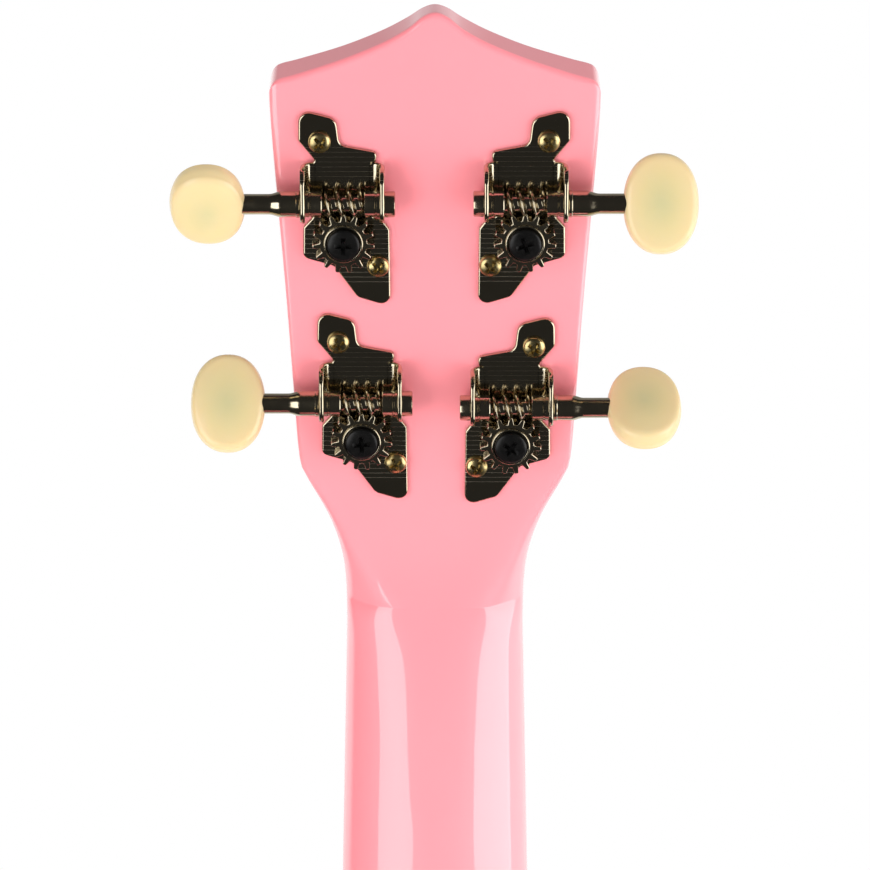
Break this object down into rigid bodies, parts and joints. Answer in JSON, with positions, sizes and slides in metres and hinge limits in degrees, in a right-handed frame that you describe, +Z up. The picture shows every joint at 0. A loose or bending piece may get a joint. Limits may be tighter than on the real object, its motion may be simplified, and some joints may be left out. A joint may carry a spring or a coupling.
{
  "type": "ukulele",
  "caption": "Soprano ukulele with a pink gloss headstock, neck and hollow body, open worm-gear tuning machines with oval buttons, fretted fingerboard, bridge and nylon strings.",
  "frame": {"origin": "centre of the nut line, on the plane where the fingerboard is glued to the neck; the wall hanger's fork takes the neck here", "axes": "+X is the player's treble side (the viewer's right when facing the strings), +Y out of the instrument's back, -Y out of the soundboard and strings, +Z up the neck to the headstock"},
  "size_m": [0.165, 0.0712, 0.5402],
  "materials": {
    "pink_lacquer": "gloss polyester lacquer over wood",
    "bare_wood": "sanded, unfinished",
    "dark_wood": "oiled, satin",
    "rosette_ring": "inlaid ring under the lacquer",
    "white_plastic": "moulded, polished on top",
    "pearl_dot": "pearl-look disc, ground flush",
    "fret_wire": "drawn nickel-silver wire, crowned",
    "nickel_plate": "bright nickel plate over stamped steel",
    "screw_plated": "brassy nickel plate",
    "screw_black": "black oxide",
    "cream_plastic": "moulded and tumbled to a gloss",
    "nylon": "drawn translucent nylon"
  },
  "bodies": {
    "instrument": {"soundboard": "pink_lacquer", "back_plate": "pink_lacquer", "side_left": "pink_lacquer", "side_right": "pink_lacquer", "neck_block": "bare_wood", "tail_block": "bare_wood", "front_linings": "bare_wood", "back_linings": "bare_wood", "soundboard_brace_upper": "bare_wood", "soundboard_brace_lower": "bare_wood", "bridge_patch": "bare_wood", "back_brace_upper": "bare_wood", "back_brace_lower": "bare_wood", "rosette": "rosette_ring", "bridge": "dark_wood", "saddle": "white_plastic", "neck": "pink_lacquer", "fingerboard": "dark_wood", "frets": "fret_wire", "position_dots": "pearl_dot", "nut": "white_plastic", "neck_dowel": "bare_wood", "plate_screws": "screw_plated", "tuner_plate_g": "nickel_plate", "bushing_g": "nickel_plate", "string_g": "nylon", "tuner_plate_c": "nickel_plate", "bushing_c": "nickel_plate", "string_c": "nylon", "tuner_plate_e": "nickel_plate", "bushing_e": "nickel_plate", "string_e": "nylon", "tuner_plate_a": "nickel_plate", "bushing_a": "nickel_plate", "string_a": "nylon"},
    "worm_g": {"worm_g": "nickel_plate", "button_g": "cream_plastic"},
    "post_g": {"post_g": "nickel_plate", "gear_g": "nickel_plate", "gear_screw_g": "screw_black", "string_winding_g": "nylon"},
    "worm_c": {"worm_c": "nickel_plate", "button_c": "cream_plastic"},
    "post_c": {"post_c": "nickel_plate", "gear_c": "nickel_plate", "gear_screw_c": "screw_black", "string_winding_c": "nylon"},
    "worm_e": {"worm_e": "nickel_plate", "button_e": "cream_plastic"},
    "post_e": {"post_e": "nickel_plate", "gear_e": "nickel_plate", "gear_screw_e": "screw_black", "string_winding_e": "nylon"},
    "worm_a": {"worm_a": "nickel_plate", "button_a": "cream_plastic"},
    "post_a": {"post_a": "nickel_plate", "gear_a": "nickel_plate", "gear_screw_a": "screw_black", "string_winding_a": "nylon"}
  },
  "joints": [
    {"name": "worm_spin_g", "type": "hinge", "parent": "instrument", "child": "worm_g", "pos_m": [-0.0148, 0.0277, 0.0404], "axis": [1, 0, 0], "continuous": true},
    {"name": "post_spin_g", "type": "hinge", "parent": "instrument", "child": "post_g", "pos_m": [-0.0148, 0.02185, 0.03392], "axis": [0, 0.9703, -0.2419], "continuous": true},
    {"name": "worm_spin_c", "type": "hinge", "parent": "instrument", "child": "worm_c", "pos_m": [-0.0173, 0.03791, 0.08135], "axis": [1, 0, 0], "continuous": true},
    {"name": "post_spin_c", "type": "hinge", "parent": "instrument", "child": "post_c", "pos_m": [-0.0173, 0.03206, 0.07487], "axis": [0, 0.9703, -0.2419], "continuous": true},
    {"name": "worm_spin_e", "type": "hinge", "parent": "instrument", "child": "worm_e", "pos_m": [0.0176, 0.03788, 0.08125], "axis": [1, 0, 0], "continuous": true},
    {"name": "post_spin_e", "type": "hinge", "parent": "instrument", "child": "post_e", "pos_m": [0.0176, 0.03204, 0.07477], "axis": [0, 0.9703, -0.2419], "continuous": true},
    {"name": "worm_spin_a", "type": "hinge", "parent": "instrument", "child": "worm_a", "pos_m": [0.01435, 0.02791, 0.04127], "axis": [1, 0, 0], "continuous": true},
    {"name": "post_spin_a", "type": "hinge", "parent": "instrument", "child": "post_a", "pos_m": [0.01435, 0.02207, 0.03479], "axis": [0, 0.9703, -0.2419], "continuous": true}
  ],
  "couplings": [
    {"joint": "post_spin_g", "follows": "worm_spin_g", "ratio": -0.066667},
    {"joint": "post_spin_c", "follows": "worm_spin_c", "ratio": -0.066667},
    {"joint": "post_spin_e", "follows": "worm_spin_e", "ratio": -0.066667},
    {"joint": "post_spin_a", "follows": "worm_spin_a", "ratio": -0.066667}
  ]
}
